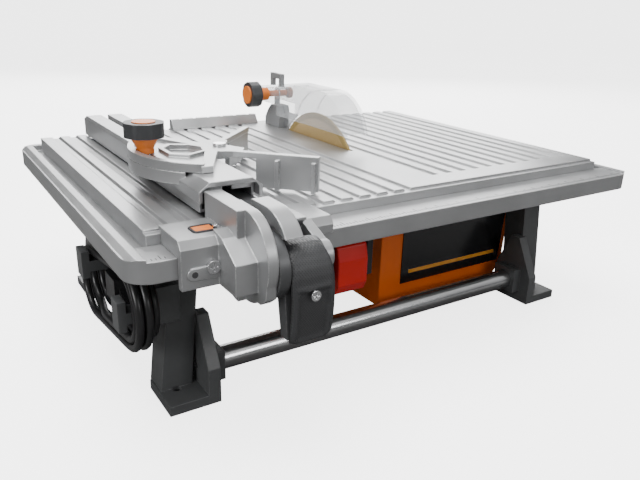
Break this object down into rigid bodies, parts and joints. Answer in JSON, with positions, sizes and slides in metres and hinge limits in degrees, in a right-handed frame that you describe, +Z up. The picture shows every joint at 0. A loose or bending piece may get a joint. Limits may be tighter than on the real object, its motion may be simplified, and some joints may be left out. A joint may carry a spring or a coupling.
{
  "type": "tile saw",
  "caption": "Portable tabletop wet tile saw: ribbed aluminium deck on four legs, blade over a water tank, rip fence with cam clamp and sliding mitre gauge.",
  "frame": {"origin": "ground level, midway between the four foot bolt holes", "axes": "+X to the right of the person sawing, along the long side; +Y away from them; +Z up"},
  "size_m": [0.556, 0.4615, 0.2375],
  "materials": {
    "casting": "satin cast, light brushing",
    "frame_plastic": "matte dark grey powder coat",
    "steel_tube": "drawn tube, satin",
    "plated_steel": "bright zinc plate",
    "tank_plastic": "moulded, fine grain",
    "label": "black label with one gold bar, no text",
    "copper_winding": "varnished winding",
    "blade_core": "gold coated steel core",
    "grey_plastic": "mid grey",
    "clear_plastic": "clear polycarbonate",
    "knob_dark": "dark grey, fine grain",
    "knob_orange": "orange",
    "black_plastic": "black",
    "paddle_red": "red",
    "button_green": "green",
    "cord_rubber": "black, soft sheen"
  },
  "bodies": {
    "frame": {"table_tray": "casting", "deck_panel": "casting", "splash_lip": "casting", "leg_front_left": "frame_plastic", "leg_front_right": "frame_plastic", "leg_rear_left": "frame_plastic", "leg_rear_right": "frame_plastic", "rail_front": "steel_tube", "rail_rear": "steel_tube", "leg_screws": "plated_steel", "water_tank": "tank_plastic", "label_plate": "label", "drain_plug": "black_plastic", "tank_screws": "plated_steel", "motor_casing": "frame_plastic", "motor_stator": "copper_winding", "bearing_blade_side": "plated_steel", "bearing_far_side": "plated_steel", "riving_knife": "plated_steel", "guard_bracket": "grey_plastic", "switch_box": "black_plastic", "switch_pin": "plated_steel", "cord_hook_front": "frame_plastic", "cord_hook_rear": "frame_plastic", "cord_clips": "black_plastic", "cord_gland": "black_plastic", "cord_lead": "cord_rubber", "cord_winding": "cord_rubber", "plug": "black_plastic"},
    "spindle": {"motor_rotor": "copper_winding", "arbor_shaft": "plated_steel", "cooling_fan": "black_plastic", "flange_inner": "plated_steel", "flange_outer": "plated_steel", "arbor_nut": "plated_steel", "blade": "blade_core"},
    "guard": {"guard_shell": "clear_plastic", "guard_hanger": "knob_dark"},
    "guard_knob": {"guard_knob": "knob_dark", "guard_knob_core": "knob_orange"},
    "switch_paddle": {"switch_paddle": "paddle_red"},
    "switch_button": {"switch_button": "button_green"},
    "fence": {"fence_bar": "casting", "fence_head": "casting", "fence_pads": "black_plastic", "fence_tongue": "grey_plastic", "fence_pointer": "knob_orange", "fence_screws": "plated_steel", "lever_pin": "plated_steel"},
    "clamp_lever": {"lever_handle": "knob_dark", "lever_grip": "knob_dark", "lever_screw": "plated_steel"},
    "mitre_slide": {"mitre_base": "casting", "mitre_pivot": "plated_steel"},
    "mitre_head": {"mitre_head": "casting"},
    "mitre_knob": {"mitre_knob": "knob_dark", "mitre_knob_core": "knob_orange"}
  },
  "joints": [
    {"name": "blade_spin", "type": "hinge", "parent": "frame", "child": "spindle", "pos_m": [0.035, 0.057, 0.112], "axis": [1, 0, 0], "continuous": true},
    {"name": "guard_tilt", "type": "hinge", "parent": "frame", "child": "guard", "pos_m": [0.035, 0.158, 0.212], "axis": [-1, 0, 0], "range_deg": [0, 45]},
    {"name": "guard_knob_turn", "type": "hinge", "parent": "guard", "child": "guard_knob", "pos_m": [0, 0.158, 0.212], "axis": [1, 0, 0], "continuous": true},
    {"name": "stop_paddle_lift", "type": "hinge", "parent": "frame", "child": "switch_paddle", "pos_m": [-0.084, -0.178, 0.132], "axis": [-1, 0, 0], "range_deg": [0, 60]},
    {"name": "start_button_press", "type": "slide", "parent": "frame", "child": "switch_button", "axis": [0, 1, 0], "range_m": [0, 0.004], "stiffness_N_per_m": 400, "springref_m": -0.004},
    {"name": "fence_slide", "type": "slide", "parent": "frame", "child": "fence", "axis": [-1, 0, 0], "range_m": [-0.055, 0.015]},
    {"name": "clamp_lever_lift", "type": "hinge", "parent": "fence", "child": "clamp_lever", "pos_m": [-0.165, -0.229, 0.153], "axis": [-1, 0, 0], "range_deg": [0, 65]},
    {"name": "mitre_travel", "type": "slide", "parent": "fence", "child": "mitre_slide", "axis": [0, 1, 0], "range_m": [0, 0.12]},
    {"name": "mitre_turn", "type": "hinge", "parent": "mitre_slide", "child": "mitre_head", "pos_m": [-0.1495, -0.067, 0.2], "axis": [0, 0, 1], "range_deg": [-22.5, 22.5]},
    {"name": "mitre_knob_turn", "type": "hinge", "parent": "mitre_slide", "child": "mitre_knob", "pos_m": [-0.21419, -0.05675, 0.215], "axis": [0, 0, 1], "continuous": true}
  ]
}
